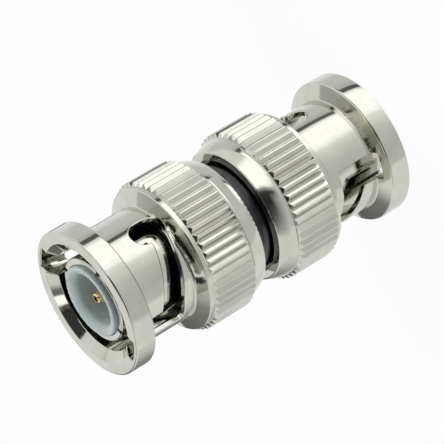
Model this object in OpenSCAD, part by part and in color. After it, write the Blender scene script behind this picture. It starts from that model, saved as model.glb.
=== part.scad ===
// Bayonet coaxial adapter, plug to plug: two sprung coupling nuts back to back on one centre body.
// The axis is +Z. The far plug's nut stands on its flange at z = 0 and the near plug looks up.
// Every plug is drawn from its own front: s is the distance behind the nut's front face.

/* [Adapter] */
// Length of each coupling nut
nut_len = 14.8; // [14.6:0.1:17]
// Width of centre body that shows between the two nuts
nut_gap = 1.55; // [1.2:0.05:3]
// Turn of the near nut's bayonet entries about the axis
near_turn = 0; // [0:1:179]
// Turn of the far nut's bayonet entries about the axis
far_turn = 31; // [0:1:179]
// Turn of the slots in both outer contacts
finger_turn = 6; // [-45:1:45]
// How far a nut can be pulled forward
nut_travel = 1.0; // [0.5:0.05:1.1]

/* [Flange] */
// Radius of the flange at a nut's front
flange_r = 6.95; // [6.8:0.05:8]
// Width of the flange
flange_w = 2.1; // [1.6:0.05:2.6]
// Width of the lead-in cone, from the bore out to the front face
lead_in_w = 0.88; // [0.5:0.02:1.2]
// Depth of the lead-in cone
lead_in_depth = 0.67; // [0.4:0.01:1]
// Size of the small bevels on the nut's edges
edge = 0.16; // [0.05:0.01:0.2]
// Length of the sloped faces at both ends of the sleeve
slope_len = 0.5; // [0.3:0.05:0.6]

/* [Bayonet] */
// Room for the socket's barrel, between the spring tube and the bore
barrel_room = 0.85; // [0.8:0.01:0.95]
// Wall of the sleeve between flange and shoulder
sleeve_wall = 0.575; // [0.5:0.025:0.85]
// Wall of the flange outside the entry channels
channel_wall = 0.5; // [0.35:0.05:0.75]
// How much the entry channels narrow from the flange's front to its rear
channel_taper = 0.4; // [0:0.05:0.4]
// Width of the entry channels
entry_w = 2.5; // [2.1:0.05:2.8]
// Turn from an entry to its lock
ramp_turn = 90; // [80:1:100]
// How far the ramp runs back from the entry to the lock
ramp_rise = 1.3; // [1:0.02:1.6]
// Width of the ramp where it leaves the entry
ramp_start_w = 2.3; // [2:0.05:2.6]
// Width of the ramp where it meets the lock
ramp_end_w = 1.5; // [1.4:0.02:2]
// How fast the ramp's front edge leaves the entry, where 1 is a straight run to the lock
ramp_ease = 1.25; // [1:0.05:1.6]
// Width of the lock hole
lock_w = 2.4; // [2.1:0.05:2.6]
// Length of the lock hole
lock_len = 3.05; // [2.8:0.05:3.4]
// Wall between the lock hole and the shoulder
lock_wall = 0.36; // [0.3:0.02:0.5]

/* [Knurl] */
// Radius of the plain rings beside the knurl
ring_r = 6.88; // [6.8:0.02:7.2]
// Height of the ridges above the rings
ridge_h = 0.37; // [0.2:0.01:0.5]
// Number of ridges round the nut
ridge_count = 54; // [40:2:60]
// Width of the plain ring between the shoulder and the knurl
front_ring_w = 0.52; // [0.4:0.01:0.7]
// Length of the knurl
knurl_len = 4.45; // [3.5:0.05:4.6]
// Length of the slope at both ends of a ridge
ridge_slope = 0.19; // [0.1:0.01:0.4]
// How far the tapered collar narrows to the rear rim
rim_drop = 0.58; // [0.3:0.02:0.7]
// Length of the rolled lip that holds the thrust washer
lip_len = 1.64; // [1.5:0.02:2]

/* [Outer contact] */
// Outer radius of the spring tube
contact_r = 4.05; // [3.95:0.01:4.1]
// Wall of the spring tube
contact_wall = 0.65; // [0.5:0.05:0.7]
// Distance from the nut's front face to the tube's tip
contact_tip = 0.7; // [0.5:0.05:1.5]
// Length of the slots between the fingers
finger_len = 5.5; // [3:0.1:6]
// Width of the slots between the fingers
finger_gap = 0.5; // [0.3:0.05:0.8]
// Number of fingers
finger_count = 4; // [4:2:8]
// How far the collar that the nut pulls on stands out from the neck
collar_w = 1.41; // [1.2:0.01:1.5]
// Thickness of that collar
collar_t = 1.5; // [1:0.1:1.6]
// Thickness of the soft ring at the tube's root
gasket_t = 0.63; // [0.4:0.01:0.9]

/* [Insulator and pin] */
// Distance from the nut's front face to the insulator's front
insulator_tip = 0.33; // [0.2:0.01:1]
// Radius of the well round the pin
well_r = 2.45; // [2.42:0.01:2.7]
// Distance from the nut's front face to the floor of the well
well_floor = 5.75; // [5:0.05:6.5]
// Width of the bevel at the well's mouth
well_bevel = 0.45; // [0.1:0.05:0.55]
// Radius of the pin
pin_r = 0.675; // [0.65:0.005:0.69]
// Distance from the nut's front face to the pin's tip
pin_tip = 1.0; // [0.6:0.05:2]
// How much the pin narrows to its tip
nose_w = 0.24; // [0.15:0.01:0.35]
// Radius of the small hole in the pin's tip
tip_hole_r = 0.27; // [0.15:0.01:0.28]
// Depth of that hole
tip_hole_depth = 0.9; // [0.2:0.05:1]
// Radius of the thick middle of the contact rod
rod_r = 1.05; // [0.9:0.05:1.3]

/* [Spring and washers] */
// Thickness of the flat washers
washer_t = 0.5; // [0.3:0.05:0.55]
// Strip thickness of the wave washer
wave_t = 0.35; // [0.2:0.05:0.4]
// Height that the wave washer keeps when the nut is pulled right forward
wave_rest = 0.85; // [0.7:0.05:0.9]
// Number of waves
wave_count = 3; // [2:1:4]

/* [Hidden] */
$fn = 96;

// Colours
nickel = [0.80, 0.80, 0.77];
dull_nickel = [0.28, 0.28, 0.28];
gold = [0.86, 0.68, 0.30];
pale_insulator = [0.74, 0.79, 0.80];
spring_steel = [0.60, 0.61, 0.62];
dark_rubber = [0.16, 0.16, 0.17];

// Clearances
run_gap = 0.07;      // turning parts
seat_gap = 0.03;     // faces that rest on each other across a joint
bond_gap = 0.02;     // pieces that are pressed or screwed together
free_gap = 0.3;      // parts that never touch
past = 1;            // how far a cutter reaches beyond a face

// Walls
front_wall = 0.67;   // between the shoulder and the spring chamber
lip_w = 0.5;         // how far the rolled lip stands in from the spring chamber
neck_wall = 0.47;    // how much the neck is thicker than the spring tube
root_step = 0.2;     // how much the tube is thicker where the soft ring sits
shank_step = 0.2;    // how much the pin is thicker where the insulator grips it
shank_len = 0.5;     // length of that grip
web_t = 0.6;         // web of the centre body between the two necks
body_reach = 1.2;    // how far the centre body reaches inside each nut
ramp_rear_gap = 0.02;
ramp_lead = 0.2;
ramp_steps = 6;
arc_steps = 10;
wave_steps = 32;     // stations along one wave

// Places along a plug, from the nut's front face: the spring stack ends at the lip and sets the shoulder
total_len = 2 * nut_len + nut_gap;
middle_s = total_len / 2;
lip_s = nut_len - lip_len;
thrust_s = lip_s - seat_gap - washer_t;
wave_h = wave_rest + nut_travel;
wave_s = thrust_s - wave_h;
slip_ring_s = wave_s - washer_t;
collar_s = slip_ring_s - collar_t;
seat_s = collar_s - seat_gap;
shoulder_s = seat_s - front_wall;
knurl_s = shoulder_s + front_ring_w;
cone_s = knurl_s + knurl_len + edge / 2;
lock_rear = shoulder_s - lock_wall;
lock_front = lock_rear - lock_len;
ramp_rear_end = lock_rear - ramp_rear_gap;
ramp_front_end = ramp_rear_end - ramp_end_w;
entry_end = ramp_rear_end - ramp_rise;
ramp_front_start = entry_end - ramp_start_w;
neck_end_s = middle_s - web_t / 2 - seat_gap;
body_s = nut_len - body_reach;
gasket_s = collar_s - gasket_t - bond_gap;
root_s = gasket_s - bond_gap;
rod_s = well_floor + shank_len;

// Radii, from the inside out
tube_bore_r = contact_r - contact_wall;
neck_r = contact_r + neck_wall;
collar_r = neck_r + collar_w;
chamber_r = collar_r + run_gap;
lip_r = chamber_r - lip_w;
body_r = lip_r - free_gap;
bore_r = contact_r + barrel_room;
lead_in_r = bore_r + lead_in_w;
sleeve_r = bore_r + sleeve_wall;
channel_r = flange_r - channel_wall;
rim_r = ring_r - rim_drop;
insulator_r = tube_bore_r - bond_gap;
root_r = contact_r + root_step;
shank_r = pin_r + shank_step;

// Points of a quarter circle from angle a0 to a1 about a centre
function arc(centre, r, a0, a1) = [
    for (i = [0 : arc_steps])
        let (a = a0 + (a1 - a0) * i / arc_steps)
        centre + r * [cos(a), sin(a)]
];

// Outside of the nut, from the axis at the front to the axis at the rear
module nut_outline() {
    polygon(concat(
        [[0, 0], [flange_r - edge, 0], [flange_r, edge]],
        [[flange_r, flange_w - edge], [flange_r - edge, flange_w]],
        [[sleeve_r, flange_w + slope_len], [sleeve_r, shoulder_s - slope_len]],
        [[ring_r - edge, shoulder_s], [ring_r, shoulder_s + edge], [ring_r, cone_s]],
        [[rim_r, nut_len - edge], [rim_r - edge, nut_len], [0, nut_len]]
    ));
}

// Hollow of the nut: lead-in cone, bayonet bore, spring chamber and rolled lip
module nut_hollow() {
    polygon([
        [0, -past], [lead_in_r, -past], [lead_in_r, 0], [bore_r, lead_in_depth], [bore_r, seat_s],
        [chamber_r, seat_s], [chamber_r, lip_s], [lip_r, lip_s], [lip_r, nut_len + past], [0, nut_len + past]
    ]);
}

// Straight ridges with narrow flat crests and sloped ends
module knurl() {
    pitch = 360 / ridge_count;
    crest = pitch / 12;
    buried_r = ring_r - ridge_h / 10;
    crest_r = ring_r + ridge_h;
    lean = ridge_slope / ridge_h;
    spare = (ring_r - chamber_r) / 2;
    points = [
        for (i = [0 : ridge_count - 1])
            for (corner = [[crest_r, -crest], [crest_r, crest], [buried_r, pitch / 2]])
                corner[0] * [cos(i * pitch + corner[1]), sin(i * pitch + corner[1])]
    ];
    intersection() {
        translate([0, 0, knurl_s - past])
            linear_extrude(knurl_len + 2 * past)
                difference() {
                    polygon(points);
                    circle(ring_r - spare);
                }
        translate([0, 0, knurl_s])
            rotate_extrude()
                polygon([
                    [ring_r - 2 * spare, -2 * spare * lean],
                    [crest_r + spare, ridge_slope + spare * lean],
                    [crest_r + spare, knurl_len - ridge_slope - spare * lean],
                    [ring_r - 2 * spare, knurl_len + 2 * spare * lean]
                ]);
    }
}

// Straight channel that lets a socket's stud in from the front, blind in the flange and open in the sleeve
module entry_channel() {
    lean = channel_taper / flange_w;
    intersection() {
        translate([0, -entry_w / 2, -past])
            cube([flange_r, entry_w, entry_end + past]);
        rotate_extrude()
            polygon([
                [0, -2 * past], [channel_r + 2 * past * lean, -2 * past],
                [channel_r - channel_taper, flange_w], [channel_r - channel_taper, nut_len], [0, nut_len]
            ]);
    }
}

// Outline on the sleeve, as [distance round, s], cut straight inwards at one angle
module cut_inwards(angle) {
    rotate(angle)
        rotate([90, 0, 90])
            linear_extrude(ring_r)
                children();
}

// Sloping part of the bayonet slot, in short straight stretches from the entry to the lock.
// They meet where the slot's rear edge climbs highest on the slope in front of the shoulder.
// The rear edge leaves the entry's side a little before the entry's end
module ramp() {
    climb = max(0.1, 1 - (lock_wall + ramp_rear_gap) / slope_len);
    cut_r = sleeve_r + (ring_r - sleeve_r) * climb;
    start = asin(entry_w / 2 / cut_r);
    stretch = (ramp_turn - start) / ramp_steps;
    for (i = [0 : ramp_steps - 1]) {
        half_w = cut_r * sin(stretch / 2);
        front = [
            for (k = [i, i + 1])
                let (left = pow(1 - k / ramp_steps, ramp_ease))
                ramp_front_end - (ramp_front_end - ramp_front_start) * left
        ];
        rear = [
            for (k = [i, i + 1])
                entry_end + (ramp_rear_end - entry_end) * k / ramp_steps - (k == 0 ? ramp_lead : 0)
        ];
        cut_inwards(-start - (i + 0.5) * stretch)
            polygon([[half_w, front[0]], [half_w, rear[0]], [-half_w, rear[1]], [-half_w, front[1]]]);
    }
}

// Round-ended hole where the stud springs back and locks
module lock_hole() {
    r = lock_w / 2;
    cut_inwards(-ramp_turn)
        polygon(concat(
            arc([0, lock_front + r], r, 180, 360),
            arc([0, lock_rear - r], r, 0, 180)
        ));
}

// Coupling nut with its front face at s = 0
module coupling_nut() {
    difference() {
        union() {
            rotate_extrude()
                difference() {
                    nut_outline();
                    nut_hollow();
                }
            knurl();
        }
        for (side = [0, 180])
            rotate(side) {
                entry_channel();
                ramp();
                lock_hole();
            }
    }
}

// Flat ring between two radii
module ring(inner_r, outer_r, s, t) {
    translate([0, 0, s])
        difference() {
            cylinder(r = outer_r, h = t);
            translate([0, 0, -past])
                cylinder(r = inner_r, h = t + 2 * past);
        }
}

// Spring tube with slotted fingers, collar and neck, in one turned piece
module shell() {
    difference() {
        rotate_extrude()
            polygon([
                [tube_bore_r, contact_tip], [contact_r - edge, contact_tip],
                [contact_r, contact_tip + 2 * edge], [contact_r, root_s], [root_r, root_s],
                [root_r, collar_s], [collar_r, collar_s], [collar_r, slip_ring_s],
                [neck_r, slip_ring_s], [neck_r, neck_end_s], [tube_bore_r, neck_end_s]
            ]);
        for (i = [0 : finger_count / 2 - 1])
            rotate(finger_turn + i * 360 / finger_count)
                translate([-contact_r - past, -finger_gap / 2, contact_tip - past])
                    cube([2 * contact_r + 2 * past, finger_gap, finger_len + past]);
    }
}

// Insulating tube with the well round the pin and a bore for the thick rod
module insulator() {
    end_s = middle_s - seat_gap;
    rotate_extrude()
        polygon([
            [well_r + well_bevel, insulator_tip], [insulator_r, insulator_tip], [insulator_r, end_s],
            [rod_r + bond_gap, end_s], [rod_r + bond_gap, rod_s], [shank_r + bond_gap, rod_s],
            [shank_r + bond_gap, well_floor], [well_r, well_floor], [well_r, insulator_tip + well_bevel]
        ]);
}

// Half of the contact rod, from the middle to one pin's tip
module contact_half() {
    rotate_extrude()
        polygon([
            [0, pin_tip + tip_hole_depth], [tip_hole_r, pin_tip + tip_hole_depth], [tip_hole_r, pin_tip],
            [pin_r - nose_w, pin_tip], [pin_r, pin_tip + pin_r], [pin_r, well_floor - bond_gap],
            [shank_r, well_floor - bond_gap], [shank_r, rod_s + bond_gap], [rod_r, rod_s + bond_gap],
            [rod_r, middle_s], [0, middle_s]
        ]);
}

// Wavy spring ring between the slip ring and the thrust washer
module wave_washer() {
    inner_r = neck_r + 3 * run_gap;
    outer_r = collar_r - run_gap;
    count = wave_count * wave_steps;
    swing = (wave_h - wave_t) / 2;
    points = [
        for (i = [0 : count - 1])
            let (a = 360 * i / count)
            let (low = wave_s + swing * (1 + cos(wave_count * a)))
            for (corner = [[inner_r, 0], [outer_r, 0], [outer_r, wave_t], [inner_r, wave_t]])
                [corner[0] * cos(a), corner[0] * sin(a), low + corner[1]]
    ];
    faces = [
        for (i = [0 : count - 1])
            let (here = 4 * i)
            let (next = 4 * ((i + 1) % count))
            for (k = [0 : 3])
                let (j = (k + 1) % 4)
                for (f = [[here + k, here + j, next + j], [here + k, next + j, next + k]])
                    f
    ];
    polyhedron(points, faces);
}

// Puts a plug's piece, drawn from its front face, on the near or the far end
module near_end(turn = 0) {
    translate([0, 0, total_len])
        rotate([180, 0, -turn])
            children();
}

module far_end(turn = 0) {
    rotate(turn)
        children();
}

module centre_body() {
    color(dull_nickel)
        translate([0, 0, middle_s])
            rotate_extrude()
                difference() {
                    half_len = middle_s - body_s;
                    polygon([
                        [tube_bore_r, -half_len], [body_r - edge, -half_len], [body_r, edge - half_len],
                        [body_r, half_len - edge], [body_r - edge, half_len], [tube_bore_r, half_len]
                    ]);
                    for (side = [-1, 1])
                        translate([0, side > 0 ? web_t / 2 : -half_len - past])
                            square([neck_r + bond_gap, half_len - web_t / 2 + past]);
                }
}

module near_shell() {
    color(nickel)
        near_end()
            shell();
}

module far_shell() {
    color(nickel)
        far_end()
            shell();
}

module near_insulator() {
    color(pale_insulator)
        near_end()
            insulator();
}

module far_insulator() {
    color(pale_insulator)
        far_end()
            insulator();
}

module centre_contact() {
    color(gold) {
        near_end()
            contact_half();
        far_end()
            contact_half();
    }
}

module near_gasket() {
    color(dark_rubber)
        near_end()
            ring(root_r + bond_gap, bore_r - 2 * run_gap, gasket_s, gasket_t);
}

module far_gasket() {
    color(dark_rubber)
        far_end()
            ring(root_r + bond_gap, bore_r - 2 * run_gap, gasket_s, gasket_t);
}

module near_slip_ring() {
    color(spring_steel)
        near_end()
            ring(neck_r + bond_gap, collar_r, slip_ring_s, washer_t);
}

module far_slip_ring() {
    color(spring_steel)
        far_end()
            ring(neck_r + bond_gap, collar_r, slip_ring_s, washer_t);
}

module near_wave_washer() {
    color(spring_steel)
        near_end()
            wave_washer();
}

module far_wave_washer() {
    color(spring_steel)
        far_end()
            wave_washer();
}

module near_thrust_washer() {
    color(spring_steel)
        near_end()
            ring(neck_r + run_gap, collar_r, thrust_s, washer_t);
}

module far_thrust_washer() {
    color(spring_steel)
        far_end()
            ring(neck_r + run_gap, collar_r, thrust_s, washer_t);
}

module near_nut() {
    color(nickel)
        near_end(near_turn)
            coupling_nut();
}

module far_nut() {
    color(nickel)
        far_end(far_turn)
            coupling_nut();
}

centre_body();
near_shell();
far_shell();
near_insulator();
far_insulator();
centre_contact();
near_gasket();
far_gasket();
near_slip_ring();
far_slip_ring();
near_wave_washer();
far_wave_washer();
near_thrust_washer();
far_thrust_washer();
near_nut();
far_nut();
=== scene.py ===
import math

import bpy
from mathutils import Matrix, Vector
from mathutils.geometry import delaunay_2d_cdt


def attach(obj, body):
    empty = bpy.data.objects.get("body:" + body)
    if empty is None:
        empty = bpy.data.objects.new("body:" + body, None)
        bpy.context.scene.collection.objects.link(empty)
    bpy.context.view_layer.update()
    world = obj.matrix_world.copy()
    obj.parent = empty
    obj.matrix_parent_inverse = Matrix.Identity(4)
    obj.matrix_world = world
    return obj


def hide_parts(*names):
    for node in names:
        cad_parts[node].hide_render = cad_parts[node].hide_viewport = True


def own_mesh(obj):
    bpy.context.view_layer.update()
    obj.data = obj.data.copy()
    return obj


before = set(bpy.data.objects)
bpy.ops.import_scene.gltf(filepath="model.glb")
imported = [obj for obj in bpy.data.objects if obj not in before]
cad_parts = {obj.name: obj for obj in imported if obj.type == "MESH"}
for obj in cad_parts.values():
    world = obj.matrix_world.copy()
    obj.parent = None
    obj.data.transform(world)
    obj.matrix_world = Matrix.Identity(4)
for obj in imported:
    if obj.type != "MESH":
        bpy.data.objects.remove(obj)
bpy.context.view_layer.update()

# Looks of a bayonet coaxial adapter, plug to plug.
# Every plug is drawn from its own front, as in the CAD source: s is the distance behind the nut's front face.
# A name that ends in CUT is the length that a rounded corner takes off its two sides.
MM = 0.001
TOTAL_LEN = 31.15 * MM
MIDDLE_S = TOTAL_LEN / 2
NUT_LEN = 14.8 * MM
FAR_TURN = math.radians(31)
FINGER_TURN = math.radians(6)

FLANGE_R = 6.95 * MM
FLANGE_W = 2.1 * MM
FLANGE_BEVEL = 0.16 * MM
LEAD_IN_R = 5.78 * MM
LEAD_IN_DEPTH = 0.67 * MM
LEAD_IN_CUT = 0.05 * MM
MOUTH_CUT = 0.04 * MM
BORE_R = 4.9 * MM
BORE_END = 8.6 * MM
SLEEVE_R = 5.475 * MM
FLANGE_EDGE_R = 6.79 * MM
FLANGE_SLOPE_END = 2.6 * MM
SLOPE_START = 7.58 * MM
SLOPE_CUT = 0.1 * MM
BEND_STEPS = 5
SHOULDER_R = 6.72 * MM
SHOULDER_S = 8.08 * MM
SEAT_S = 8.75 * MM
SEAT_CUT = 0.08 * MM
LIP_S = 13.16 * MM
CHAMBER_R = 6.0 * MM
LIP_R = 5.5 * MM
LIP_CUT = 0.09 * MM
LIP_EDGE_CUT = 0.05 * MM

CHANNEL_R = 6.45 * MM
CHANNEL_REAR_R = 6.05 * MM
ARC_POINTS = 7
ENTRY_HALF = 1.25 * MM
ENTRY_END = 6.4 * MM
ENTRY_CUT = 0.25 * MM
ENTRY_REAR_CUT = 0.5 * MM
STRIP_END = 3.0 * MM
RAMP_FRONT_START = 4.1 * MM
RAMP_FRONT_END = 6.2 * MM
RAMP_REAR_END = 7.7 * MM
RAMP_EASE = 1.25
RAMP_STEPS = 8
RAMP_CUT = 0.2 * MM
TOOTH_CUT = 0.36 * MM
LOCK_HALF = 1.2 * MM
LOCK_FRONT = 4.67 * MM
LOCK_REAR = 7.72 * MM
LOCK_TURN = -math.pi / 2
LOCK_BLEND = 0.3
LOCK_STEP = 10
SLOT_EDGE = 0.12 * MM
SLOT_STEP = 0.11 * MM
COLUMN_STEP = 3
SHEET_GAP = 0.16 * MM
SHEET_LEVELS = 12
SLOPE_LEVELS = 5

RING_R = 6.88 * MM
RIDGE_H = 0.369 * MM
RIDGE_COUNT = 54
RIDGE_FOOT = 0.47
RIDGE_CREST = 1 / 12
KNURL_S = 8.6 * MM
KNURL_LEN = 4.45 * MM
RIDGE_SLOPE = 0.19 * MM
RING_EDGE_S = 8.144 * MM
RING_CUT = 0.1 * MM
CONE_S = 13.13 * MM
CONE_CUT = 0.04 * MM
CONE_MID_R = 6.685 * MM
CONE_MID_S = 13.998 * MM
CONE_CROWN_CUT = 0.74 * MM
RIM_R = 6.3 * MM
RIM_CUT = 0.13 * MM

CONTACT_R = 4.05 * MM
CONTACT_CUT = 0.2 * MM
TUBE_BORE_R = 3.4 * MM
TUBE_MOUTH_CUT = 0.08 * MM
CONTACT_TIP = 0.7 * MM
FINGER_COUNT = 4
FINGER_STEPS = 24
FINGER_END = 6.2 * MM
FINGER_GAP_HALF = 0.25 * MM
ROOT_R = 4.25 * MM
ROOT_S = 8.11 * MM
COLLAR_R = 5.93 * MM
COLLAR_S = 8.78 * MM
COLLAR_END = 10.28 * MM
COLLAR_CUT = 0.06 * MM
NECK_R = 4.52 * MM
NECK_END = 15.245 * MM

INSULATOR_R = 3.38 * MM
INSULATOR_TIP = 0.33 * MM
INSULATOR_CUT = 0.15 * MM
WELL_R = 2.45 * MM
WELL_FLOOR = 5.75 * MM
WELL_BEVEL = 0.45 * MM
WELL_CUT = 0.2 * MM
WELL_RIM_CUT = 0.3 * MM
ROD_BORE_R = 1.07 * MM
PIN_BORE_R = 0.895 * MM
PIN_BORE_CUT = 0.05 * MM
MIDDLE_GAP = 0.03 * MM
FIT_GAP = 0.02 * MM

PIN_R = 0.675 * MM
PIN_TIP = 1.0 * MM
PIN_CUT = 0.2 * MM
PIN_NOSE_R = 0.435 * MM
NOSE_CUT = 0.1 * MM
TIP_HOLE_R = 0.32 * MM
TIP_HOLE_CUT = 0.03 * MM
TIP_HOLE_END = 1.9 * MM
TIP_HOLE_FLOOR_R = 0.05 * MM
ROD_R = 1.05 * MM
SHANK_R = 0.875 * MM
ROD_S = 6.27 * MM

WAVE_S = 10.78 * MM
WAVE_H = 1.85 * MM
WAVE_T = 0.35 * MM
WAVE_COUNT = 3
WAVE_INNER_R = 4.73 * MM
WAVE_OUTER_R = 5.86 * MM

GASKET_S = 8.13 * MM
GASKET_END = 8.76 * MM
GASKET_INNER_R = 4.27 * MM
GASKET_OUTER_R = 4.76 * MM
GASKET_CUT = 0.08 * MM
GASKET_FRONT_CUT = 0.2 * MM
GASKET_EDGE = 0.12 * MM
BODY_R = 5.2 * MM
BODY_CUT = 0.16 * MM
BODY_HALF = 1.975 * MM
BODY_BORE_R = 4.54 * MM
WEB_HALF = 0.3 * MM

RING_POINTS = 96
ROD_POINTS = 40
BODY_POINTS = 120


class Skin:
    """Vertices that carry their own normals; a vertex that is already there is shared."""

    POINT_GRID = 2e7
    NORMAL_GRID = 20

    def __init__(self):
        self.points = []
        self.normals = []
        self.faces = []
        self.known = {}

    def add(self, point, normal):
        normal = normal.normalized()
        key = tuple(round(c * self.POINT_GRID) for c in point)
        key += tuple(round(c * self.NORMAL_GRID) for c in normal)
        if key not in self.known:
            self.known[key] = len(self.points)
            self.points.append(point.copy())
            self.normals.append(normal)
        return self.known[key]

    def face(self, *corners):
        """A face that looks the way its corners' normals do."""
        corners = list(dict.fromkeys(corners))
        if len(corners) < 3:
            return
        a, b, c = (self.points[i] for i in corners[:3])
        facing = sum((self.normals[i] for i in corners), Vector())
        if (b - a).cross(c - a).dot(facing) < 0:
            corners.reverse()
        self.faces.append(corners)

    def grid(self, lines, closed=False):
        """Quads between lines with the same number of points."""
        for first, second in zip(lines, lines[1:]):
            count = len(first)
            for i in range(count if closed else count - 1):
                j = (i + 1) % count
                self.face(first[i], first[j], second[j], second[i])

    def stitch(self, first, second):
        """Triangles between two lines with different numbers of points."""
        share_a = self.shares(first)
        share_b = self.shares(second)
        i = j = 0
        while i < len(first) - 1 or j < len(second) - 1:
            step_a = share_a[i + 1] if i < len(first) - 1 else 2
            step_b = share_b[j + 1] if j < len(second) - 1 else 2
            if step_a <= step_b:
                self.face(first[i], first[i + 1], second[j])
                i += 1
            else:
                self.face(first[i], second[j + 1], second[j])
                j += 1

    def shares(self, line):
        """How far along the line each of its points is, from 0 to 1."""
        lengths = [0.0]
        for a, b in zip(line, line[1:]):
            lengths.append(lengths[-1] + (self.points[b] - self.points[a]).length)
        return [length / lengths[-1] for length in lengths]

    def half_turn_copy(self):
        """Adds the same faces once more, half a turn on."""
        points = list(self.points)
        normals = list(self.normals)
        faces = list(self.faces)
        turned = [self.add(half_turn(p), half_turn(n)) for p, n in zip(points, normals)]
        for corners in faces:
            self.face(*[turned[i] for i in corners])

    def mesh(self, name, place):
        turn = place.to_3x3()
        mesh = bpy.data.meshes.new(name)
        mesh.from_pydata([place @ p for p in self.points], [], self.faces)
        mesh.shade_smooth()
        mesh.normals_split_custom_set_from_vertices([turn @ n for n in self.normals])
        return mesh


def half_turn(v):
    return Vector((-v.x, -v.y, v.z))


def on_row(row, angle):
    """Point and normal at one angle of a profile row (r, s, normal's r, normal's s)."""
    r, s, nr, ns = row
    c = math.cos(angle)
    d = math.sin(angle)
    return Vector((r * c, r * d, s)), Vector((nr * c, nr * d, ns))


def rounded_corner(before, corner, after, cut, steps):
    """Points and directions along an arc that rounds one corner of a flat path."""
    into = (corner - before).normalized()
    out = (after - corner).normalized()
    turn = math.atan2(into.x * out.y - into.y * out.x, into.dot(out))
    radius = cut / math.tan(abs(turn) / 2)
    side = math.copysign(1, turn)
    centre = corner - into * cut + Vector((-into.y, into.x)) * side * radius
    start = math.atan2(into.y, into.x)
    for k in range(steps + 1):
        heading = start + turn * k / steps
        along = Vector((math.cos(heading), math.sin(heading)))
        yield centre + Vector((along.y, -along.x)) * side * radius, along


def profile(corners, steps=4):
    """Rows of a turned shape. Corners are (r, s, cut), taken with the material on the left."""
    rows = []
    flat = [Vector((r, s)) for r, s, _ in corners]
    for i, (r, s, cut) in enumerate(corners):
        before = flat[i - 1] if i else None
        after = flat[i + 1] if i + 1 < len(flat) else None
        if before is not None and after is not None and cut:
            for p, along in rounded_corner(before, flat[i], after, cut, steps):
                rows.append((p.x, p.y, along.y, -along.x))
            continue
        for a, b in ((before, flat[i]), (flat[i], after)):
            if a is not None and b is not None:
                along = (b - a).normalized()
                rows.append((r, s, along.y, -along.x))
    return rows


def turned(skin, rows, angles):
    """The rows swept right round, through the given angles."""
    lines = [[skin.add(*on_row(row, a)) for a in angles] for row in rows]
    skin.grid(lines, closed=True)


def even_angles(count):
    return [2 * math.pi * i / count for i in range(count)]


# Coupling nut

# Angles between one entry and the next
COLUMNS = [math.radians(a) for a in range(18, 163, COLUMN_STEP)]

SLEEVE_ROWS = profile([
    (SLEEVE_R, STRIP_END, 0), (SLEEVE_R, SLOPE_START, SLOPE_CUT), (SHOULDER_R, SHOULDER_S, 0)
], BEND_STEPS)


def sleeve_row(s):
    """Outside of the nut between flange and shoulder, and up the slope in front of the shoulder."""
    for a, b in zip(SLEEVE_ROWS, SLEEVE_ROWS[1:]):
        if s <= b[1]:
            break
    share = (s - a[1]) / (b[1] - a[1])
    return tuple(p + (q - p) * share for p, q in zip(a, b))


def sleeve_length(s):
    """Distance along the sleeve and up its slope."""
    length = STRIP_END
    for a, b in zip(SLEEVE_ROWS, SLEEVE_ROWS[1:]):
        share = min(1, (s - a[1]) / (b[1] - a[1]))
        length += math.hypot(b[0] - a[0], b[1] - a[1]) * max(0, share)
    return length


def flange_slope_row(r):
    """The slope behind the flange, at one radius."""
    width = FLANGE_EDGE_R - SLEEVE_R
    length = FLANGE_SLOPE_END - FLANGE_W
    facing = Vector((length, width)).normalized()
    return (r, FLANGE_W + length * (FLANGE_EDGE_R - r) / width, facing.x, facing.y)


def even_steps(first, last, count):
    """Places between two values, without both ends."""
    return [first + (last - first) * k / count for k in range(1, count)]


def bore_row(s):
    return (BORE_R, s, -1, 0)


def plain_length(s):
    return s


def arc_points(centre, radius, first, last):
    """Points along an arc between two angles in degrees."""
    angles = [math.radians(a) for a in range(first, last + 1, LOCK_STEP)]
    return [centre + radius * Vector((math.cos(a), math.sin(a))) for a in angles]


def slot_outline():
    """The slot on the unrolled sleeve, from one side of the entry round to the other, as (angle, s)."""
    entry_x = SLEEVE_R * math.asin(ENTRY_HALF / SLEEVE_R)
    lock_x = SLEEVE_R * math.asin(LOCK_HALF / SLEEVE_R)
    lock = Vector((SLEEVE_R * LOCK_TURN, 0))
    rear_arc = lock + Vector((0, LOCK_REAR - lock_x))
    front_arc = lock + Vector((0, LOCK_FRONT + lock_x))
    corners = [
        (Vector((entry_x, STRIP_END)), 0),
        (Vector((entry_x, ENTRY_END)), ENTRY_CUT),
        (Vector((-entry_x, ENTRY_END)), ENTRY_REAR_CUT),
        (Vector((rear_arc.x + LOCK_BLEND * lock_x, RAMP_REAR_END)), 0),
    ]
    lock_edge = arc_points(rear_arc, lock_x, 80, 180) + arc_points(front_arc, lock_x, 180, 340)
    corners += [(point, 0) for point in lock_edge]
    tooth_x = lock.x + lock_x
    tooth_share = (tooth_x + entry_x) / (lock.x + entry_x)
    for k in range(RAMP_STEPS, -1, -1):
        share = tooth_share * k / RAMP_STEPS
        s = RAMP_FRONT_END - (RAMP_FRONT_END - RAMP_FRONT_START) * (1 - share) ** RAMP_EASE
        cut = {RAMP_STEPS: TOOTH_CUT, 0: RAMP_CUT}.get(k, 0)
        corners.append((Vector((-entry_x + share * (lock.x + entry_x), s)), cut))
    corners.append((Vector((-entry_x, STRIP_END)), 0))
    path = []
    for i, (corner, cut) in enumerate(corners):
        if cut:
            arc = rounded_corner(corners[i - 1][0], corner, corners[i + 1][0], cut, BEND_STEPS)
            path += [p for p, _ in arc]
        else:
            path.append(corner)
    return [(p.x / SLEEVE_R, p.y) for p in spaced(path, SLOT_STEP)]


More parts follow.
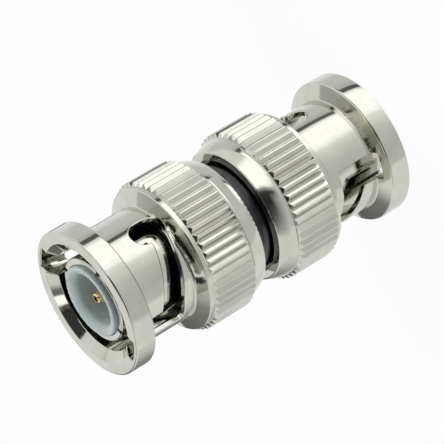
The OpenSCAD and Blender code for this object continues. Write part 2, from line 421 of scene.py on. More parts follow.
def spaced(path, step):
    """The path with long stretches divided."""
    points = [path[0]]
    for a, b in zip(path, path[1:]):
        count = max(1, round((b - a).length / step))
        points += [a.lerp(b, k / count) for k in range(1, count + 1)]
    return points


def angle_at(angle, r):
    """Entry and lock have parallel sides, so their angles grow towards the axis; the ramp lies between."""
    entry = math.asin(ENTRY_HALF / SLEEVE_R)
    lock = math.asin(LOCK_HALF / SLEEVE_R)
    ramp_end = LOCK_TURN + lock
    if angle >= -entry:
        return math.asin(SLEEVE_R * math.sin(angle) / r)
    if angle <= ramp_end:
        return LOCK_TURN + math.asin(SLEEVE_R * math.sin(angle - LOCK_TURN) / r)
    share = (angle + entry) / (ramp_end + entry)
    at_entry = entry - math.asin(ENTRY_HALF / r)
    at_lock = math.asin(LOCK_HALF / r) - lock
    return angle + at_entry + share * (at_lock - at_entry)


def slot_loop(rows, row_at, outline):
    """The slot's edge on one side of the wall, from the + corner round to the channel's arc.

    It is given as points, normals and the lines that the cut runs along: ramp and lock are cut to the axis.
    """
    plus = [on_row(row, math.asin(ENTRY_HALF / row[0])) for row in rows]
    minus = [on_row(row, -math.asin(ENTRY_HALF / row[0])) for row in reversed(rows)]
    half = math.asin(ENTRY_HALF / rows[0][0])
    arc = [on_row(rows[0], half * (2 * k / (ARC_POINTS + 1) - 1)) for k in range(1, ARC_POINTS + 1)]
    slot = []
    for angle, s in outline[1:-1]:
        row = row_at(s)
        point, normal = on_row(row, angle_at(angle, row[0]))
        slot.append((point, normal, Vector((point.x, point.y, 0)).normalized() * math.copysign(1, row[2])))
    entry = [(point, normal, normal) for point, normal in plus]
    return entry + slot + [(point, normal, normal) for point, normal in minus + arc]


def edge_lines(skin, loop):
    """Lines of vertices on both sides of the slot's small bevel: on the sheet and on the wall."""
    sheet = []
    wall = []
    count = len(loop)
    side = -1 if loop[0][1].cross(loop[3][0] - loop[2][0]).y > 0 else 1
    lean = Vector((0, 0, (CHANNEL_R - CHANNEL_REAR_R) / FLANGE_W))
    for i, (point, normal, deep) in enumerate(loop):
        along = loop[(i + 1) % count][0] - loop[i - 1][0]
        inwards = normal.cross(along).normalized() * side
        facing = deep.cross(along).normalized() * side
        on_sheet = point - inwards * SLOT_EDGE
        on_sheet.z = max(0, on_sheet.z)
        sheet.append(skin.add(on_sheet, normal))
        if i >= count - ARC_POINTS:
            facing -= lean
        wall.append(skin.add(point - deep * SLOT_EDGE, facing))
    skin.grid([sheet, wall], closed=True)
    return sheet, wall


def strip(skin, rows, rim_row, sheet):
    """The turned faces between one entry and the next, from the channel's arc to where the slot widens."""
    count = len(rows)
    minus = sheet[-ARC_POINTS - count:-ARC_POINTS][::-1]
    lines = []
    for i, row in enumerate(rows):
        last = minus[i]
        end = skin.add(half_turn(skin.points[last]), half_turn(skin.normals[last]))
        lines.append([sheet[i]] + [skin.add(*on_row(row if i else rim_row, a)) for a in COLUMNS] + [end])
    skin.grid(lines)


def inside(point, polygon):
    """Whether a flat point is inside a polygon."""
    hit = False
    for a, b in zip(polygon, polygon[1:] + polygon[:1]):
        if (a.y > point.y) != (b.y > point.y):
            if point.x < a.x + (point.y - a.y) * (b.x - a.x) / (b.y - a.y):
                hit = not hit
    return hit


def slotted_sheet(skin, sheet_line, row_at, length_at, levels, end_s):
    """Half a turn of sleeve or bore round the slot, as triangles between the slot's edge and plain rings."""
    seam = math.radians(45)
    ring = [a for a in COLUMNS if a <= seam]
    back = [a - math.pi for a in COLUMNS]
    top_minus = [a for a in reversed(back) if a >= seam - math.pi]
    bottom = [a for a in ring_angles() if seam - math.pi <= a <= seam]
    radius = row_at(STRIP_END)[0]
    slack = 1e-6
    border = list(sheet_line)
    border += [skin.add(*on_row(row_at(STRIP_END), a)) for a in top_minus]
    border += [skin.add(*on_row(row_at(s), seam - math.pi)) for s in levels]
    border += [skin.add(*on_row(row_at(end_s), a)) for a in bottom]
    border += [skin.add(*on_row(row_at(s), seam)) for s in reversed(levels)]
    border += [skin.add(*on_row(row_at(STRIP_END), a)) for a in reversed(ring)]

    def flat(i):
        p = skin.points[i]
        a = math.atan2(p.y, p.x)
        a = a if a <= seam + slack else a - 2 * math.pi
        return Vector((a * radius, length_at(p.z)))

    outline = [flat(i) for i in border]
    ids = list(border)
    points = list(outline)
    for s in levels:
        for k in range(1, 180 // COLUMN_STEP):
            a = seam - math.radians(COLUMN_STEP * k)
            p = Vector((a * radius, length_at(s)))
            gap = min((p - q).length for q in outline)
            if gap > SHEET_GAP and inside(p, outline):
                ids.append(skin.add(*on_row(row_at(s), a)))
                points.append(p)
    edges = [(i, (i + 1) % len(border)) for i in range(len(border))]
    scale = 1 / MM
    tolerance = 1e-5
    result = delaunay_2d_cdt([p * scale for p in points], edges, [], 0, tolerance)
    verts, _, faces, origins = result[:4]
    for corners in faces:
        middle = sum((verts[i] for i in corners), Vector((0, 0))) / (3 * scale)
        if inside(middle, outline):
            skin.face(*[ids[origins[i][0]] for i in corners])


def ring_angles():
    """Angles of the plain rings behind the slots, from a half turn back to a half turn on."""
    half = [math.radians(a) for a in range(0, 180, COLUMN_STEP)]
    return [a - math.pi for a in half] + half


def ridge(skin, angle):
    """One ridge of the knurl, with a narrow crest and sloped ends, standing on the ring."""
    pitch = 2 * math.pi / RIDGE_COUNT
    foot = RIDGE_FOOT * pitch
    crest = RIDGE_CREST * pitch
    tilt = math.pi / 2 - math.atan2(RIDGE_H, (foot - crest) * RING_R)
    # (angle from the middle, share of the height, lean of the normal)
    half_section = [(foot, 0, tilt), (crest * 1.25, 0.94, tilt), (crest * 0.6, 1, tilt * 0.2)]
    section = [(-turn, height, -lean) for turn, height, lean in half_section] + half_section[::-1]
    slope = Vector((RIDGE_SLOPE, RIDGE_H)).normalized()
    lines = []
    for foot_s, facing in ((KNURL_S, -1), (KNURL_S + KNURL_LEN, 1)):
        cap = []
        line = []
        for turn, height, lean in section:
            a = angle + turn
            r = RING_R + RIDGE_H * height
            s = foot_s - facing * RIDGE_SLOPE * height
            cap.append(skin.add(*on_row((r, s, slope.x, facing * slope.y), a)))
            _, outwards = on_row((1, 0, 1, 0), a + lean)
            line.append(skin.add(on_row((r, s, 1, 0), a)[0], outwards))
        skin.face(*cap)
        lines.append(line)
    skin.grid(lines)


def coupling_nut():
    """Half of the slotted front, its copy half a turn on, and the plain rear with the knurl."""
    skin = Skin()
    outline = slot_outline()
    outer_rows = profile([
        flange_slope_row(CHANNEL_REAR_R)[:2] + (0,),
        (SLEEVE_R, FLANGE_SLOPE_END, SLOPE_CUT), (SLEEVE_R, STRIP_END, 0)
    ], BEND_STEPS)
    inner_rows = profile([
        (BORE_R, STRIP_END, 0), (BORE_R, LEAD_IN_DEPTH, LEAD_IN_CUT), (LEAD_IN_R, 0, MOUTH_CUT),
        (CHANNEL_R, 0, 0)
    ])[::-1]
    outer_sheet, outer_wall = edge_lines(skin, slot_loop(outer_rows, sleeve_row, outline))
    inner_sheet, inner_wall = edge_lines(skin, slot_loop(inner_rows, bore_row, outline))
    rear_rim_row = flange_slope_row(CHANNEL_REAR_R + SLOT_EDGE)
    front_rim_row = (CHANNEL_R + SLOT_EDGE, 0, 0, -1)
    strip(skin, outer_rows, rear_rim_row, outer_sheet)
    strip(skin, inner_rows, front_rim_row, inner_sheet)
    slot_count = len(outline) - 2
    m = len(outer_rows)
    n = len(inner_rows)
    outer_slot = slice(m - 1, m + slot_count + 1)
    inner_slot = slice(n - 1, n + slot_count + 1)
    bend = [row[1] for row in SLEEVE_ROWS[1:-1]]
    outer_levels = even_steps(STRIP_END, bend[0], SHEET_LEVELS) + bend
    outer_levels += even_steps(bend[-1], SHOULDER_S, SLOPE_LEVELS)
    inner_levels = even_steps(STRIP_END, BORE_END, SHEET_LEVELS)
    slotted_sheet(skin, outer_sheet[outer_slot], sleeve_row, sleeve_length, outer_levels, SHOULDER_S)
    slotted_sheet(skin, inner_sheet[inner_slot], bore_row, plain_length, inner_levels, BORE_END)
    skin.stitch(outer_wall[:m], inner_wall[:n])
    skin.grid([outer_wall[outer_slot], inner_wall[inner_slot]])
    outer_end = outer_wall[m + slot_count:]
    inner_end = inner_wall[n + slot_count:]
    skin.stitch(outer_end[:m], inner_end[:n])
    skin.grid([outer_end[m - 1:] + outer_wall[:1], inner_end[n - 1:] + inner_wall[:1]])
    flange(skin, outer_sheet, rear_rim_row, inner_sheet, front_rim_row)
    skin.half_turn_copy()
    turned(skin, nut_rear_rows(), ring_angles())
    for i in range(RIDGE_COUNT):
        ridge(skin, 2 * math.pi * i / RIDGE_COUNT)
    return skin


def nut_rear_rows():
    """Rows of the nut behind the slots: shoulder, knurl's ring, tapered rim, rolled lip and chamber."""
    return profile([
        (SHOULDER_R, SHOULDER_S, 0), (RING_R, RING_EDGE_S, RING_CUT), (RING_R, CONE_S, CONE_CUT),
        (CONE_MID_R, CONE_MID_S, CONE_CROWN_CUT), (RIM_R, NUT_LEN, RIM_CUT), (LIP_R, NUT_LEN, LIP_CUT),
        (LIP_R, LIP_S, LIP_EDGE_CUT), (CHAMBER_R, LIP_S, 0), (CHAMBER_R, SEAT_S, 0),
        (BORE_R, SEAT_S, SEAT_CUT), (BORE_R, BORE_END, 0),
    ])


def flange(skin, outer_sheet, rear_rim_row, inner_sheet, front_rim_row):
    """Half a turn of the flange's rim, between the channel's arc on its front and on its rear face."""
    def line(sheet, row):
        arc = sheet[-ARC_POINTS:]
        middle = ARC_POINTS // 2
        turned_corner = sheet[-ARC_POINTS - 1]
        first = [sheet[0]] + [skin.add(*on_row(row, a)) for a in COLUMNS]
        return arc[middle:] + first + [
            skin.add(half_turn(skin.points[i]), half_turn(skin.normals[i]))
            for i in [turned_corner] + arc[:middle + 1]
        ]

    front = line(inner_sheet, front_rim_row)
    rear = line(outer_sheet, rear_rim_row)
    rows = profile([
        (front_rim_row[0], 0, 0), (FLANGE_R, 0, FLANGE_BEVEL),
        flange_slope_row(FLANGE_R)[:2] + (FLANGE_BEVEL,), rear_rim_row[:2] + (0,)
    ])[1:-1]
    angles = [math.atan2(skin.points[i].y, skin.points[i].x) for i in front]
    rim = [[skin.add(*on_row(row, a)) for a in angles] for row in rows]
    skin.grid([front] + rim + [rear])


# Turned pieces inside the nuts

def spring_tube():
    """Tube with four slotted fingers, collar and neck."""
    skin = Skin()
    tip = profile([
        (TUBE_BORE_R, FINGER_END, 0), (TUBE_BORE_R, CONTACT_TIP, TUBE_MOUTH_CUT),
        (CONTACT_R, CONTACT_TIP, CONTACT_CUT), (CONTACT_R, FINGER_END, 0)
    ])
    rear = profile([
        (CONTACT_R, FINGER_END, 0), (CONTACT_R, ROOT_S, 0), (ROOT_R, ROOT_S, 0), (ROOT_R, COLLAR_S, 0),
        (COLLAR_R, COLLAR_S, COLLAR_CUT), (COLLAR_R, COLLAR_END, COLLAR_CUT), (NECK_R, COLLAR_END, 0),
        (NECK_R, NECK_END, COLLAR_CUT), (TUBE_BORE_R, NECK_END, COLLAR_CUT), (TUBE_BORE_R, FINGER_END, 0)
    ])
    pitch = 2 * math.pi / FINGER_COUNT
    steps = [k / FINGER_STEPS for k in range(FINGER_STEPS + 1)]

    def finger_angles(r, start):
        gap = math.asin(FINGER_GAP_HALF / r)
        return [start + gap + (pitch - 2 * gap) * k for k in steps]

    tube_angles = []
    for i in range(FINGER_COUNT):
        start = FINGER_TURN + i * pitch
        tube_angles += finger_angles(CONTACT_R, start)
        lines = [[skin.add(*on_row(row, a)) for a in finger_angles(row[0], start)] for row in tip]
        skin.grid(lines)
        for end, angle in ((0, start), (-1, start + pitch)):
            facing = Vector((math.sin(angle), -math.cos(angle), 0)) * (1 if end == 0 else -1)
            side = [skin.add(skin.points[line[end]], facing) for line in lines]
            half = len(side) // 2
            skin.stitch(side[:half + 1], side[:half - 1:-1])
        before = finger_angles(CONTACT_R, start - pitch)[-1]
        after = finger_angles(CONTACT_R, start)[0]
        gap_floor = [
            skin.add(on_row((r, FINGER_END, 1, 0), a)[0], Vector((0, 0, -1)))
            for r in (TUBE_BORE_R, CONTACT_R) for a in (before, start, after)
        ]
        skin.grid([gap_floor[:3], gap_floor[3:]])
    turned(skin, rear, tube_angles)
    return skin


def insulator():
    """Pale tube with the well round the pin."""
    skin = Skin()
    end = MIDDLE_S - MIDDLE_GAP
    rows = profile([
        (ROD_BORE_R, end, 0), (ROD_BORE_R, ROD_S - FIT_GAP, 0), (PIN_BORE_R, ROD_S - FIT_GAP, 0),
        (PIN_BORE_R, WELL_FLOOR, PIN_BORE_CUT), (WELL_R, WELL_FLOOR, WELL_CUT),
        (WELL_R, INSULATOR_TIP + WELL_BEVEL, WELL_RIM_CUT),
        (WELL_R + WELL_BEVEL, INSULATOR_TIP, WELL_RIM_CUT),
        (INSULATOR_R, INSULATOR_TIP, INSULATOR_CUT), (INSULATOR_R, end, 0), (ROD_BORE_R, end, 0),
    ], steps=6)
    turned(skin, rows, even_angles(RING_POINTS))
    return skin


def contact_rod():
    """The whole rod with a pin at both ends, drawn from the far plug's front."""
    skin = Skin()
    half = [
        (TIP_HOLE_FLOOR_R, TIP_HOLE_END, 0), (TIP_HOLE_R, TIP_HOLE_END, 0),
        (TIP_HOLE_R, PIN_TIP, TIP_HOLE_CUT), (PIN_NOSE_R, PIN_TIP, NOSE_CUT),
        (PIN_R, PIN_TIP + PIN_R, PIN_CUT), (PIN_R, WELL_FLOOR - FIT_GAP, 0),
        (SHANK_R, WELL_FLOOR - FIT_GAP, 0), (SHANK_R, ROD_S, 0), (ROD_R, ROD_S, 0)
    ]
    other = [(r, TOTAL_LEN - s, cut) for r, s, cut in reversed(half)]
    rows = profile(half + other)
    angles = even_angles(ROD_POINTS)
    turned(skin, rows, angles)
    for row in (rows[0], rows[-1]):
        skin.face(*[skin.add(*on_row(row, a)) for a in angles])
    return skin


def gasket():
    """Soft ring at the root of the spring tube."""
    skin = Skin()
    start = (GASKET_INNER_R, GASKET_S + GASKET_EDGE, 0)
    rows = profile([
        start, (GASKET_INNER_R, GASKET_S, GASKET_CUT), (GASKET_OUTER_R, GASKET_S, GASKET_FRONT_CUT),
        (GASKET_OUTER_R, GASKET_END, GASKET_CUT), (GASKET_INNER_R, GASKET_END, GASKET_CUT), start,
    ])
    turned(skin, rows, even_angles(RING_POINTS))
    return skin


def wave_washer():
    """Wavy spring ring between two flat washers."""
    skin = Skin()
    swing = (WAVE_H - WAVE_T) / 2
    corners = [(WAVE_INNER_R, 0), (WAVE_OUTER_R, 0), (WAVE_OUTER_R, WAVE_T), (WAVE_INNER_R, WAVE_T)]
    facings = [(0, -1), (1, 0), (0, 1), (-1, 0)]
    for i, facing in enumerate(facings):
        lines = []
        for r, lift in (corners[i], corners[(i + 1) % 4]):
            line = []
            for a in even_angles(RING_POINTS):
                low = WAVE_S + swing * (1 + math.cos(WAVE_COUNT * a))
                line.append(skin.add(*on_row((r, low + lift) + facing, a)))
            lines.append(line)
        skin.grid(lines, closed=True)
    return skin


def centre_body():
    """Tube that joins both plugs, with a thin web in its middle, coloured near black as painted shade."""
    skin = Skin()
    low = MIDDLE_S - BODY_HALF
    high = MIDDLE_S + BODY_HALF
    rows = profile([
        (BODY_BORE_R, low, 0), (BODY_R, low, BODY_CUT), (BODY_R, high, BODY_CUT), (BODY_BORE_R, high, 0),
        (BODY_BORE_R, MIDDLE_S + WEB_HALF, 0), (TUBE_BORE_R, MIDDLE_S + WEB_HALF, 0),
        (TUBE_BORE_R, MIDDLE_S - WEB_HALF, 0), (BODY_BORE_R, MIDDLE_S - WEB_HALF, 0), (BODY_BORE_R, low, 0),
    ])
    turned(skin, rows, even_angles(BODY_POINTS))
    return skin


# Materials

CLOUD_SCALE = 0.55
PATCH_SCALE = 1.4
MILKY_DEPTH = 0.8 * MM


def new_material(name):
    """An empty node material: the material, its nodes, its links and its output."""
    material = bpy.data.materials.new(name)
    material.use_nodes = True
    nodes = material.node_tree.nodes
    nodes.clear()
    out = nodes.new("ShaderNodeOutputMaterial")
    return material, nodes, material.node_tree.links, out


def noise(nodes, links, scale, detail, stretch):
    """Noise in the piece's own coordinates, in millimetres, finer along the axis by the last value."""
    place = nodes.new("ShaderNodeTexCoord")
    mapping = nodes.new("ShaderNodeMapping")
    mapping.inputs["Scale"].default_value = (1 / MM, 1 / MM, stretch / MM)
    texture = nodes.new("ShaderNodeTexNoise")
    texture.inputs["Scale"].default_value = scale
    texture.inputs["Detail"].default_value = detail
    links.new(place.outputs["Object"], mapping.inputs["Vector"])
    links.new(mapping.outputs["Vector"], texture.inputs["Vector"])
    return texture.outputs["Fac"]


def ramp(nodes, links, source, low, high, stops=(0.35, 0.65)):
    """A colour between two, by the source."""
    node = nodes.new("ShaderNodeValToRGB")
    node.color_ramp.elements[0].position = stops[0]
    node.color_ramp.elements[1].position = stops[1]
    node.color_ramp.elements[0].color = (*low, 1)
    node.color_ramp.elements[1].color = (*high, 1)
    links.new(source, node.inputs["Fac"])
    return node.outputs["Color"]


def spread(nodes, links, source, low, high):
    """A value between two, by the source."""
    node = nodes.new("ShaderNodeMapRange")
    node.inputs["To Min"].default_value = low
    node.inputs["To Max"].default_value = high
    links.new(source, node.inputs["Value"])
    return node.outputs["Result"]


def surface(name, low, high, rough, metallic, grain, depth, stretch=1.0, milky=0.0):
    """A finish with cloudy colour, uneven roughness and a faint grain; milky lets light in below it."""
    material, nodes, links, out = new_material(name)
    shader = nodes.new("ShaderNodeBsdfPrincipled")
    shader.inputs["Metallic"].default_value = metallic
    shader.inputs["Subsurface Weight"].default_value = milky
    shader.inputs["Subsurface Radius"].default_value = (1, 1, 1)
    shader.inputs["Subsurface Scale"].default_value = MILKY_DEPTH
    clouds = noise(nodes, links, CLOUD_SCALE, 3, 1.0)
    links.new(ramp(nodes, links, clouds, low, high), shader.inputs["Base Color"])
    patches = noise(nodes, links, PATCH_SCALE, 4, 1.0)
    links.new(spread(nodes, links, patches, *rough), shader.inputs["Roughness"])
    bump = nodes.new("ShaderNodeBump")
    bump.inputs["Strength"].default_value = 1.0
    bump.inputs["Distance"].default_value = depth
    links.new(noise(nodes, links, grain, 2, stretch), bump.inputs["Height"])
    links.new(bump.outputs["Normal"], shader.inputs["Normal"])
    links.new(shader.outputs["BSDF"], out.inputs["Surface"])
    return material


nickel = surface(
    "nickel_plate", (0.55, 0.55, 0.49), (0.60, 0.60, 0.54), rough=(0.05, 0.12), metallic=1, grain=0.6,
    depth=0.0012 * MM
)
# Painted shade: the centre tube is coloured near black for the shade that falls in the gap between the nuts.
painted_gap_shade = surface(
    "dull_nickel", (0.08, 0.08, 0.085), (0.12, 0.12, 0.125), rough=(0.2, 0.3), metallic=1, grain=2.5,
    depth=0.002 * MM, stretch=3.0
)
gold = surface(
    "gold_plate", (0.92, 0.70, 0.32), (0.96, 0.77, 0.41), rough=(0.12, 0.22), metallic=1, grain=3.0,
    depth=0.001 * MM
)
plastic = surface(
    "fluoroplastic", (0.345, 0.405, 0.40), (0.40, 0.455, 0.45), rough=(0.4, 0.5), metallic=0, grain=2.0,
    depth=0.003 * MM, milky=0.6
)
steel = surface(
    "spring_steel", (0.42, 0.42, 0.41), (0.50, 0.50, 0.49), rough=(0.22, 0.34), metallic=1, grain=4.0,
    depth=0.001 * MM
)
rubber = surface(
    "dark_rubber", (0.025, 0.025, 0.027), (0.04, 0.04, 0.042), rough=(0.5, 0.65), metallic=0, grain=6.0,
    depth=0.004 * MM
)


# Pieces

def make_piece(name, skin, place, material, body, node):
    """A visible piece that rides a body and stands in for one CAD node."""
    piece = bpy.data.objects.new(name, skin.mesh(name, place))
    bpy.context.scene.collection.objects.link(piece)
    piece.data.materials.append(material)
    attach(piece, body)
    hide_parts(node)
    return piece


near = Matrix.Translation((0, 0, TOTAL_LEN)) @ Matrix.Rotation(math.pi, 4, "X")
far = Matrix.Identity(4)
nut = coupling_nut()
tube = spring_tube()
insulating_tube = insulator()
soft_ring = gasket()
wavy_ring = wave_washer()
make_piece("near_nut_skin", nut, near, nickel, "near_nut", "near_nut")
make_piece("far_nut_skin", nut, Matrix.Rotation(FAR_TURN, 4, "Z"), nickel, "far_nut", "far_nut")
for end, place in (("near", near), ("far", far)):
    make_piece(end + "_spring_tube", tube, place, nickel, "body", end + "_shell")
    make_piece(
        end + "_insulating_tube", insulating_tube, place, plastic, "body", end + "_insulator"
    )
    make_piece(end + "_soft_ring", soft_ring, place, rubber, "body", end + "_gasket")
    spring = make_piece(
        end + "_wavy_ring", wavy_ring, place, steel, "body", end + "_wave_washer"
    )
    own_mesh(spring)
    for ring_name in ("slip_ring", "thrust_washer"):
        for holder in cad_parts[end + "_" + ring_name].material_slots:
            holder.material = steel
make_piece("contact_rod", contact_rod(), far, gold, "body", "centre_contact")
make_piece("middle_body", centre_body(), far, painted_gap_shade, "body", "centre_body")


# Floor, cards and light

CAMERA_TURN = math.radians(59.43)
CAMERA_LIFT = math.radians(26.619)
CAMERA_ROLL = math.radians(-120.88)
CAMERA_DISTANCE = 225.82 * MM
CAMERA_AIM = Vector((-0.076, 0.045, 16.009)) * MM
CAMERA_LENS = 208.3
CAMERA_SENSOR = 36

FLOOR_HALF = 3.0
FLOOR_GREY = 0.82
FLOOR_WHITE_SHARE = 0.92
AMBIENT = 0.45
FAN_LAG = 0.075
FAN_REACH = (0.01, 0.03, 0.048, 0.4)
CARD_LIFT = 0.05 * MM
TOP_HEIGHT = 0.28
SIDE_DISTANCE = 0.3
SIDE_STEP = 8
BAND_STEPS = 12

# Stripes along the axis that the nuts mirror from the floor: (angle round the nuts in degrees, brightness)
# or (angle, brightness beside the part, brightness further out)
STRIPES = [
    (-45, 0.8, 0.22), (-24, 0.85, 0.22), (-16, 0.9, 0.3), (-12, 0.9, 0.36), (-8, 0.9, 0.5), (-4, 0.95, 0.66),
    (0, 1.0, 0.8), (8, 1.0), (28, 1.0), (32, 0.74), (46, 0.70), (56, 0.78), (66, 1.0), (70, 1.15), (74, 1.6),
    (78, 1.75), (93, 1.75), (97, 1.2), (98.5, 0.15), (101.5, 0.12), (103, 0.7), (108.5, 0.8), (120, 0.82),
    (126, 1.0),
]


def background_rays(nodes, links):
    """1 for the rays that see the background: camera, glossy and transmission."""
    rays = nodes.new("ShaderNodeLightPath")
    total = rays.outputs["Is Camera Ray"]
    for name in ("Is Glossy Ray", "Is Transmission Ray"):
        larger = nodes.new("ShaderNodeMath")
        larger.operation = "MAXIMUM"
        links.new(total, larger.inputs[0])
        links.new(rays.outputs[name], larger.inputs[1])
        total = larger.outputs["Value"]
    return total


def sheet_object(name, points, faces, material):
    mesh = bpy.data.meshes.new(name)
    mesh.from_pydata(points, [], faces)
    sheet = bpy.data.objects.new(name, mesh)
    bpy.context.scene.collection.objects.link(sheet)
    sheet.data.materials.append(material)
    return sheet


def rectangle(x_range, y_range, height):
    """Corners of a level rectangle."""
    return [(x_range[i], y_range[k], height) for i, k in ((0, 0), (1, 0), (1, 1), (0, 1))]


def floor_material():
    """Pale paper that is nearly white to the rays that see the background."""
    material, nodes, links, out = new_material("pale_floor")
    paper = nodes.new("ShaderNodeBsdfDiffuse")
    paper.inputs["Color"].default_value = (FLOOR_GREY, FLOOR_GREY, FLOOR_GREY, 1)
    white = nodes.new("ShaderNodeEmission")
    white.inputs["Color"].default_value = (1, 1, 1, 1)
    white.inputs["Strength"].default_value = 1.0
    share = nodes.new("ShaderNodeMapRange")
    share.inputs["To Max"].default_value = FLOOR_WHITE_SHARE
    links.new(background_rays(nodes, links), share.inputs["Value"])
    mix = nodes.new("ShaderNodeMixShader")
    links.new(share.outputs["Result"], mix.inputs["Fac"])
    links.new(paper.outputs["BSDF"], mix.inputs[1])
    links.new(white.outputs["Emission"], mix.inputs[2])
    links.new(mix.outputs["Shader"], out.inputs["Surface"])
    return material


def card_material():
    """Card that glows by the level written on its corners."""
    material, nodes, links, out = new_material("card_face")
    level = nodes.new("ShaderNodeAttribute")
    level.attribute_name = "level"
    glow = nodes.new("ShaderNodeEmission")
    glow.inputs["Color"].default_value = (1, 1, 1, 1)
    links.new(level.outputs["Fac"], glow.inputs["Strength"])
    links.new(glow.outputs["Emission"], out.inputs["Surface"])
    return material


def pale_floor():
    span = (-FLOOR_HALF, FLOOR_HALF)
    sheet_object("floor", rectangle(span, span, 0), [(0, 1, 2, 3)], floor_material())


def card(name, points, faces, levels):
    """Stage card that only mirrors see."""
    sheet = sheet_object(name, points, faces, card_face)
    values = sheet.data.attributes.new("level", "FLOAT", "POINT")
    for i, level in enumerate(levels):
        values.data[i].value = level
    sheet.visible_camera = False
    sheet.visible_diffuse = False
    sheet.visible_shadow = False


def strip_faces(count, width):
    """Quads between lines of points, each line as many points long as the width."""
    return [
        (width * i + k, width * i + k + 1, width * i + width + k + 1, width * i + width + k)
        for i in range(count - 1) for k in range(width - 1)
    ]


def stripe_fan():
    """A graded card on the floor, from the lines that each angle of the nuts mirrors to the camera."""
    points = []
    levels = []
    for stripe, *brightness in STRIPES:
        a = math.radians(stripe)
        heading = 2 * a - CAMERA_TURN
        start = a - FAN_LAG * (a - CAMERA_TURN)
        points.append((FLANGE_R * math.cos(start), FLANGE_R * math.sin(start), CARD_LIFT))
        for d in FAN_REACH:
            x = SLEEVE_R * math.cos(a) + d * math.cos(heading)
            y = SLEEVE_R * math.sin(a) + d * math.sin(heading)
            points.append((x, y, CARD_LIFT))
        levels += [brightness[0]] * 3 + [brightness[-1]] * 2
    card("stripe_fan", points, strip_faces(len(STRIPES), len(FAN_REACH) + 1), levels)


def top_card(name, x_range, y_range, level):
    """A level card overhead."""
    card(name, rectangle(x_range, y_range, TOP_HEIGHT), [(0, 1, 2, 3)], [level] * 4)


def side_card(name, low, high, stops):
    """A bent upright card round the part, between two elevations.

    The stops are (direction, level) or (direction, level at the low edge, level at the high edge); all
    angles are in degrees.
    """
    edges = [(stop[0], stop[1], stop[-1]) for stop in stops]
    lines = edges[:1]
    for first, last in zip(edges, edges[1:]):
        count = math.ceil((last[0] - first[0]) / SIDE_STEP)
        for k in range(1, count + 1):
            lines.append([a + (b - a) * k / count for a, b in zip(first, last)])
    points = []
    levels = []
    for direction, *glow in lines:
        a = math.radians(direction)
        for lift in (low, high):
            z = MIDDLE_S + SIDE_DISTANCE * math.tan(math.radians(lift))
            points.append((SIDE_DISTANCE * math.cos(a), SIDE_DISTANCE * math.sin(a), z))
        levels += glow
    card(name, points, strip_faces(len(lines), 2), levels)


def flat_band(name, first, last, height, rings, end_level):
    """A level card that goes part of the way round, between two directions, from rings of (radius, level)."""
    points = []
    levels = []
    for k in range(BAND_STEPS + 1):
        a = math.radians(first + (last - first) * k / BAND_STEPS)
        for r, level in rings:
            points.append((r * math.cos(a), r * math.sin(a), height))
            levels.append(end_level if k in (0, BAND_STEPS) else level)
    card(name, points, strip_faces(BAND_STEPS + 1, len(rings)), levels)


pale_floor()
card_face = card_material()
stripe_fan()
top_card("black_top", x_range=(-0.097, 0.035), y_range=(-0.070, 0.075), level=0.04)
top_card("white_top", x_range=(0.05, 0.105), y_range=(-0.045, 0.03), level=1.8)
side_card("low_cards", low=-2, high=5, stops=[
    (-8, 0.95), (3, 0.83, 0.58), (15, 0.78, 0.5), (26, 0.72, 0.47), (38, 0.72, 0.46), (49, 0.69, 0.5),
    (56, 0.7, 0.3), (61, 0.75, 0.06), (66, 0.9, 0.5), (72, 1.2, 1.6), (78, 1.75), (118, 1.75), (128, 1.0)
])
side_card("middle_cards", low=5, high=13, stops=[
    (-8, 0.95), (3, 0.58, 0.5), (15, 0.5, 0.32), (26, 0.47, 0.2), (38, 0.46, 0.1), (49, 0.5, 0.03),
    (56, 0.3, 0.03), (61, 0.06, 0.04), (66, 0.5, 0.05), (72, 1.6, 0.4), (78, 1.75), (118, 1.75), (128, 1.0)
])
side_card("upper_cards", low=13, high=26, stops=[
    (-8, 0.95), (3, 0.5, 0.4), (15, 0.32, 0.08), (26, 0.2, 0.02), (38, 0.1, 0.02), (49, 0.03), (61, 0.04),
    (66, 0.05), (72, 0.4, 0.1), (76, 1.3, 0.4), (80, 1.75), (118, 1.75), (128, 1.0)
])
side_card("camera_flag", low=26, high=50, stops=[(12, 0.3), (20, 0.05), (120, 0.05), (128, 0.3)])
side_card("high_cards", low=50, high=81, stops=[
    (-46, 1.0), (-38, 0.2), (-14, 0.12), (0, 0.06), (20, 0.04), (84, 0.04), (90, 0.6), (93, 1.8), (136, 1.8),
    (150, 1.0)
])
side_card("right_back", low=36, high=57, stops=[(188, 1.0), (198, 0.5), (205, 0.55), (216, 0.8), (226, 1.0)])
side_card("left_back", low=3, high=57, stops=[(242, 1.0), (247, 0.14, 0.55), (270, 0.14, 0.55), (275, 1.0)])
under_rings = [(16 * MM, 1.0), (18.5 * MM, 0.04), (23.2 * MM, 0.04), (25.2 * MM, 1.0)]
cone_rings = [(7.8 * MM, 0.78), (10.4 * MM, 0.78)]
flat_band("under_card", first=-24, last=120, height=8 * MM, rings=under_rings, end_level=1.0)
flat_band("cone_card", first=60, last=113, height=13 * MM, rings=cone_rings, end_level=0.8)


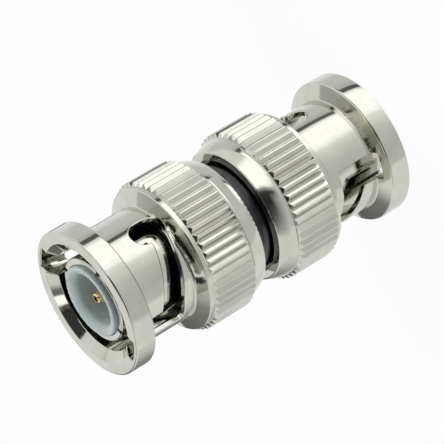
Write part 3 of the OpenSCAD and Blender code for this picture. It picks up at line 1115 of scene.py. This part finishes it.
def studio_world():
    """White to the rays that see the background, and dimmer ambient light for the rest."""
    world = bpy.data.worlds.new("studio")
    bpy.context.scene.world = world
    world.use_nodes = True
    nodes = world.node_tree.nodes
    links = world.node_tree.links
    nodes.clear()
    mix = nodes.new("ShaderNodeMixShader")
    links.new(background_rays(nodes, links), mix.inputs["Fac"])
    for i, strength in ((1, AMBIENT), (2, 1.0)):
        shade = nodes.new("ShaderNodeBackground")
        shade.inputs["Color"].default_value = (1, 1, 1, 1)
        shade.inputs["Strength"].default_value = strength
        links.new(shade.outputs["Background"], mix.inputs[i])
    out = nodes.new("ShaderNodeOutputWorld")
    links.new(mix.outputs["Shader"], out.inputs["Surface"])


def sight_line(turn, lift):
    """The direction at an azimuth and an elevation."""
    return Vector((math.cos(turn) * math.cos(lift), math.sin(turn) * math.cos(lift), math.sin(lift)))


def soft_box(name, turn, lift, distance, size, power):
    """A square area lamp that looks at the middle of the part."""
    away = sight_line(math.radians(turn), math.radians(lift))
    lamp = bpy.data.lights.new(name, "AREA")
    lamp.shape = "SQUARE"
    lamp.size = size
    lamp.energy = power
    holder = bpy.data.objects.new(name, lamp)
    holder.location = Vector((0, 0, MIDDLE_S)) + away * distance
    holder.rotation_euler = away.to_track_quat("Z", "Y").to_euler()
    holder.visible_glossy = False
    bpy.context.scene.collection.objects.link(holder)


def photo_camera():
    """The camera as the photograph was taken: it looks at the standing part and is rolled."""
    camera = bpy.data.objects.new("camera", bpy.data.cameras.new("camera"))
    camera.data.lens = CAMERA_LENS
    camera.data.sensor_width = CAMERA_SENSOR
    camera.data.clip_start = 0.01
    away = sight_line(CAMERA_TURN, CAMERA_LIFT)
    place = Matrix.Translation(CAMERA_AIM + away * CAMERA_DISTANCE)
    facing = away.to_track_quat("Z", "Y").to_matrix().to_4x4()
    camera.matrix_world = place @ facing @ Matrix.Rotation(CAMERA_ROLL, 4, "Z")
    bpy.context.scene.collection.objects.link(camera)
    bpy.context.scene.camera = camera


studio_world()
soft_box("key_box", turn=150, lift=55, distance=0.5, size=0.35, power=1.6)
soft_box("fill_box", turn=-20, lift=50, distance=0.6, size=0.4, power=1.1)
photo_camera()
bpy.context.scene.view_settings.view_transform = "Standard"
